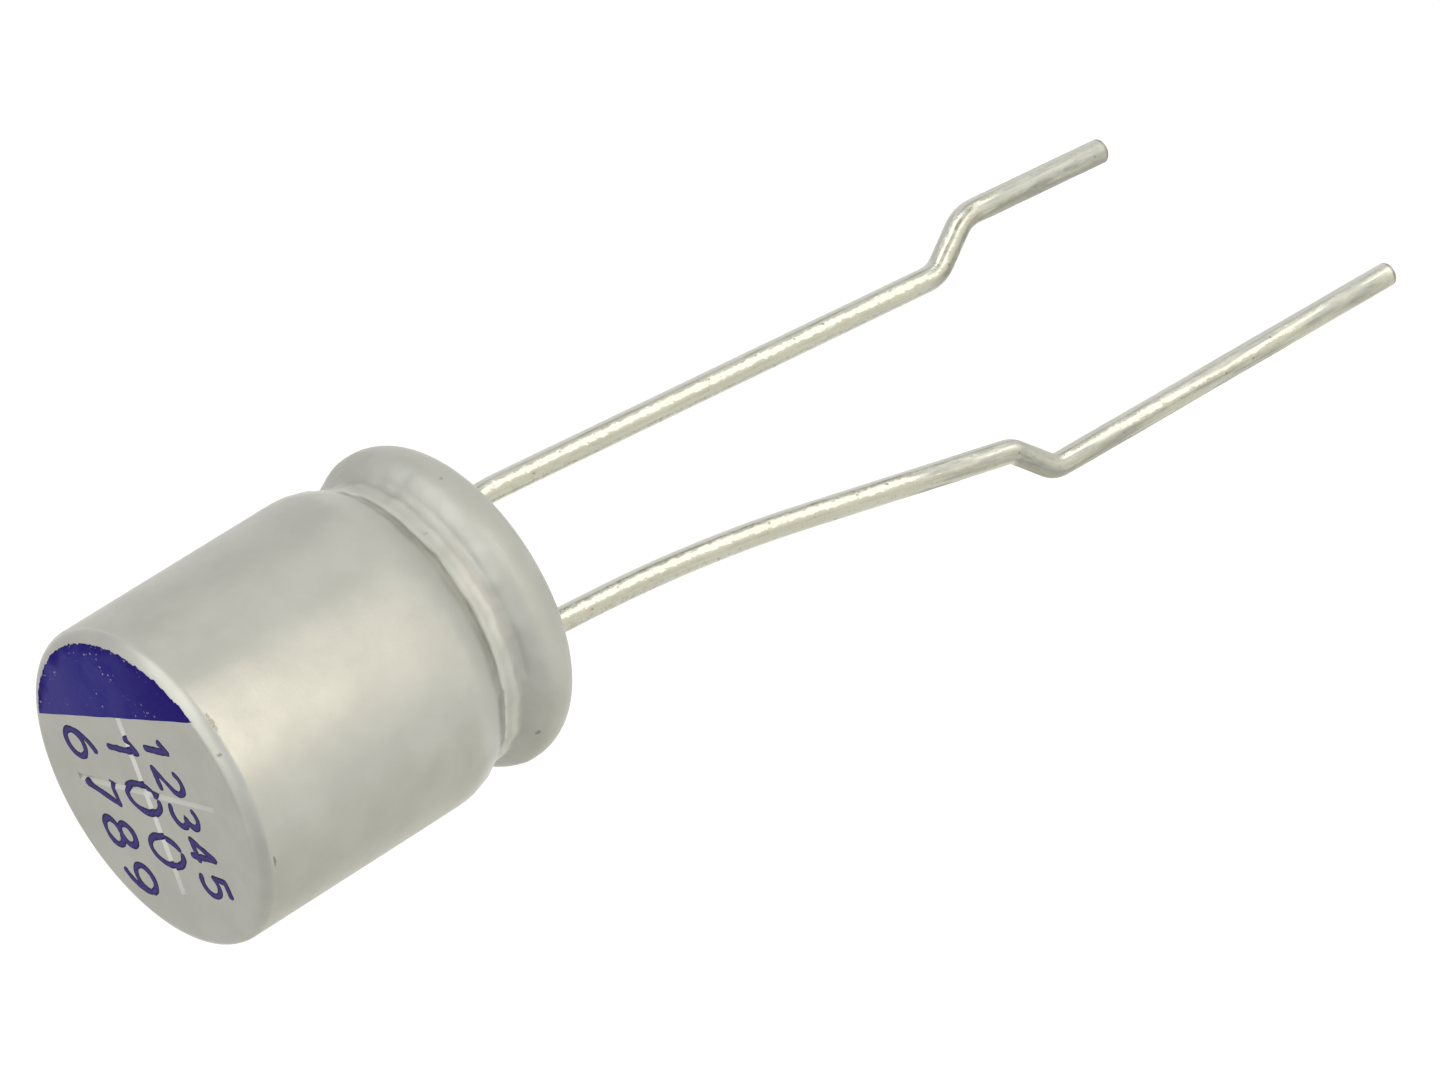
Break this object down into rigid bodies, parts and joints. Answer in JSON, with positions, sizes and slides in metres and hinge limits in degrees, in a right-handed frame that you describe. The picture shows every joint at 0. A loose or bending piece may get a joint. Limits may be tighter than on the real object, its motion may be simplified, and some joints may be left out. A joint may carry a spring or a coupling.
{
  "type": "hybrid capacitor",
  "caption": "Radial hybrid capacitor: beaded aluminium can with scored vent and rubber seal, holding a wound element on tabs, with kinked tinned wire leads for a circuit board.",
  "frame": {"origin": "centre of the rim's flat ring, on the plane that meets the circuit board", "axes": "+Z from the board up the can, X along the pair of leads with the cathode at +X"},
  "size_m": [0.0098, 0.008, 0.0363],
  "materials": {
    "can_aluminium": "satin, bare drawn sheet",
    "seal_rubber": "matt moulded rubber",
    "separator_paper": "soaked separator and foil edges",
    "closing_tape": "smooth film",
    "tab_aluminium": "pressed",
    "lead_tin": "tinned wire"
  },
  "bodies": {
    "root": {"can": "can_aluminium", "seal": "seal_rubber", "winding": "separator_paper", "winding_tape": "closing_tape", "anode_tab": "tab_aluminium", "cathode_tab": "tab_aluminium", "anode_lead": "lead_tin", "cathode_lead": "lead_tin"}
  },
  "joints": []
}
